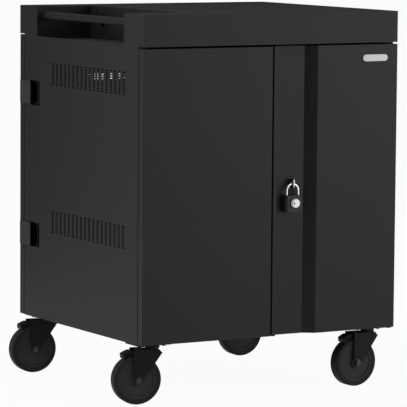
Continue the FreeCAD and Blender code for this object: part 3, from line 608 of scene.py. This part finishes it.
@dataclass
class Studio:
    """Floor, light and camera.

    Attributes:
        lens: Focal length in millimetres.
        eye: Place of the camera.
        yaw: Turn of the view to the right of +Y, in degrees.
        pitch: Tilt of the view below the horizon, in degrees.
        roll: Turn of the picture, in degrees.
        floor_half: Half the side of the floor.
        floor_grey: Grey of the floor.
        floor_glow: Share of plain white in the floor where it is seen.
        fill: Strength of the even light.
        front_reach: Distance of the cloth on the camera's side.
        front_high: Height of its middle.
        rear_reach: Distance of the cloth behind the cabinet.
        rear_high: Height of its middle.
        side_place: Middle of the cloth behind the left side.
        sensor: Width of the camera's sensor in millimetres.
        sight: How far the camera sees.
    """

    lens: float = 266.1
    eye: Point = (-3.99944, -6.92156, 1.30333)
    yaw: float = 30.117
    pitch: float = 5.933
    roll: float = 0.448
    floor_half: float = 30.0
    floor_grey: float = 0.86
    floor_glow: float = 0.95
    fill: float = 0.39
    front_reach: float = 3.0
    front_high: float = 1.0
    rear_reach: float = 3.6
    rear_high: float = 2.1
    side_place: Point = (-0.32, 1.93, 0.6)
    sensor: float = 36.0
    sight: float = 200.0

    def build(self) -> None:
        """Set up everything round the object."""
        bpy.context.scene.view_settings.view_transform = "Standard"
        self.make_world()
        self.make_floor()
        for softbox in SOFTBOXES:
            self.make_lamp(softbox)
        for flag in self.flags():
            self.make_flag(flag)
        self.make_camera()

    def flags(self) -> tuple[Flag, ...]:
        """Give the dark cloths, two of them in line with the camera.

        Returns:
            The cloths to hang.
        """
        toward = Vector((self.eye[0], self.eye[1], 0.0)).normalized()
        front = toward * self.front_reach + Vector((0.0, 0.0, self.front_high))
        rear = toward * -self.rear_reach + Vector((0.0, 0.0, self.rear_high))
        return (
            Flag("front_flag", place=front, half=(1.8, 1.5)),
            Flag("rear_flag", place=rear, half=(3.0, 1.6)),
            Flag("side_flag", place=Vector(self.side_place), half=(1.0, 1.2)),
        )

    @staticmethod
    def seen_ray(tree: bpy.types.NodeTree) -> bpy.types.NodeSocket:
        """Give a factor that is 1 on camera, glossy and transmission rays.

        Args:
            tree: Node tree to add to.

        Returns:
            The socket with the factor.
        """
        path = tree.nodes.new("ShaderNodeLightPath")
        first = tree.nodes.new("ShaderNodeMath")
        first.operation = "MAXIMUM"
        tree.links.new(path.outputs["Is Camera Ray"], first.inputs[0])
        tree.links.new(path.outputs["Is Glossy Ray"], first.inputs[1])
        second = tree.nodes.new("ShaderNodeMath")
        second.operation = "MAXIMUM"
        tree.links.new(first.outputs[0], second.inputs[0])
        tree.links.new(path.outputs["Is Transmission Ray"], second.inputs[1])
        return second.outputs[0]

    def make_world(self) -> None:
        """White surroundings where they are seen, an even fill elsewhere."""
        world = bpy.data.worlds.new("studio")
        bpy.context.scene.world = world
        world.use_nodes = True
        tree = world.node_tree
        tree.nodes.clear()
        seen = tree.nodes.new("ShaderNodeBackground")
        seen.inputs["Color"].default_value = WHITE
        light = tree.nodes.new("ShaderNodeBackground")
        light.inputs["Color"].default_value = WHITE
        light.inputs["Strength"].default_value = self.fill
        mix = tree.nodes.new("ShaderNodeMixShader")
        out = tree.nodes.new("ShaderNodeOutputWorld")
        tree.links.new(self.seen_ray(tree), mix.inputs["Fac"])
        tree.links.new(light.outputs[0], mix.inputs[1])
        tree.links.new(seen.outputs[0], mix.inputs[2])
        tree.links.new(mix.outputs[0], out.inputs["Surface"])

    def make_floor(self) -> None:
        """Pale floor that is white far off and keeps a soft shadow close by."""
        shape = bmesh.new()
        bmesh.ops.create_grid(shape, x_segments=1, y_segments=1, size=self.floor_half)
        data = bpy.data.meshes.new("floor")
        shape.to_mesh(data)
        shape.free()
        paint = bpy.data.materials.new("floor_white")
        paint.use_nodes = True
        tree = paint.node_tree
        tree.nodes.clear()
        matt = tree.nodes.new("ShaderNodeBsdfDiffuse")
        matt.inputs["Color"].default_value = (self.floor_grey, self.floor_grey, self.floor_grey, 1.0)
        glow = tree.nodes.new("ShaderNodeEmission")
        glow.inputs["Strength"].default_value = 1.0
        share = tree.nodes.new("ShaderNodeMath")
        share.operation = "MULTIPLY"
        share.inputs[1].default_value = self.floor_glow
        mix = tree.nodes.new("ShaderNodeMixShader")
        out = tree.nodes.new("ShaderNodeOutputMaterial")
        tree.links.new(self.seen_ray(tree), share.inputs[0])
        tree.links.new(share.outputs[0], mix.inputs["Fac"])
        tree.links.new(matt.outputs[0], mix.inputs[1])
        tree.links.new(glow.outputs[0], mix.inputs[2])
        tree.links.new(mix.outputs[0], out.inputs["Surface"])
        data.materials.append(paint)
        floor = bpy.data.objects.new("floor", data)
        bpy.context.scene.collection.objects.link(floor)

    @staticmethod
    def make_lamp(softbox: Softbox) -> None:
        """Add a lamp.

        Args:
            softbox: The lamp to add.
        """
        data = bpy.data.lights.new(softbox.name, "AREA")
        data.shape = "RECTANGLE"
        data.size, data.size_y = softbox.size
        data.energy = softbox.power
        lamp = bpy.data.objects.new(softbox.name, data)
        lamp.location = softbox.place
        ahead = Vector(softbox.target) - Vector(softbox.place)
        lamp.rotation_euler = ahead.to_track_quat("-Z", "Y").to_euler()
        bpy.context.scene.collection.objects.link(lamp)
        lamp.visible_camera = False

    @staticmethod
    def make_flag(flag: Flag) -> None:
        """Hang a dark cloth.

        Args:
            flag: The cloth to hang.
        """
        shape = bmesh.new()
        bmesh.ops.create_grid(shape, x_segments=1, y_segments=1, size=1.0)
        level = Vector((flag.place.x, flag.place.y, 0.0))
        turn = level.to_track_quat("Z", "Y").to_matrix().to_4x4()
        put = Matrix.Translation(flag.place) @ turn @ Matrix.Diagonal((*flag.half, 1.0, 1.0))
        bmesh.ops.transform(shape, matrix=put, verts=shape.verts)
        data = bpy.data.meshes.new(flag.name)
        shape.to_mesh(data)
        shape.free()
        cloth = bpy.data.materials.new(f"{flag.name}_cloth")
        cloth.use_nodes = True
        shader = cloth.node_tree.nodes["Principled BSDF"]
        shader.inputs["Base Color"].default_value = (flag.grey, flag.grey, flag.grey, 1.0)
        shader.inputs["Roughness"].default_value = 1.0
        data.materials.append(cloth)
        hung = bpy.data.objects.new(flag.name, data)
        hung.visible_camera = hung.visible_diffuse = hung.visible_shadow = False
        bpy.context.scene.collection.objects.link(hung)

    def make_camera(self) -> None:
        """Camera at the photograph's viewing angle."""
        data = bpy.data.cameras.new("camera")
        data.sensor_width = self.sensor
        data.lens = self.lens
        data.clip_end = self.sight
        yaw, pitch, roll = (math.radians(turn) for turn in (self.yaw, self.pitch, self.roll))
        ahead = Vector((math.sin(yaw) * math.cos(pitch), math.cos(yaw) * math.cos(pitch), -math.sin(pitch)))
        right = Vector((math.cos(yaw), -math.sin(yaw), 0.0))
        above = right.cross(ahead)
        side = right * math.cos(roll) + above * math.sin(roll)
        top = above * math.cos(roll) - right * math.sin(roll)
        camera = bpy.data.objects.new("camera", data)
        facing = Matrix((side, top, -ahead)).transposed().to_4x4()
        camera.matrix_world = Matrix.Translation(self.eye) @ facing
        bpy.context.scene.collection.objects.link(camera)
        bpy.context.scene.camera = camera


def main() -> None:
    """Dress the cabinet, add its trim and set up the studio."""
    logging.basicConfig(level=logging.INFO, format="%(name)s: %(message)s")
    shop = Paintshop()
    shop.dress_nodes(frame["nodes"], frame["record"])
    Padlock(shop, "padlock_dial").build()
    # Painted shade in the slot above the staple.
    StapleShade(shop, "right_door").build()
    BadgeTrim(shop, "right_door").build()
    PowerParts(shop, "cabinet").build()
    for corner in Corner:
        CasterTrim(shop, f"fork_{corner.value}", corner=corner).build()
    Studio().build()


if __name__ == "__main__":
    main()
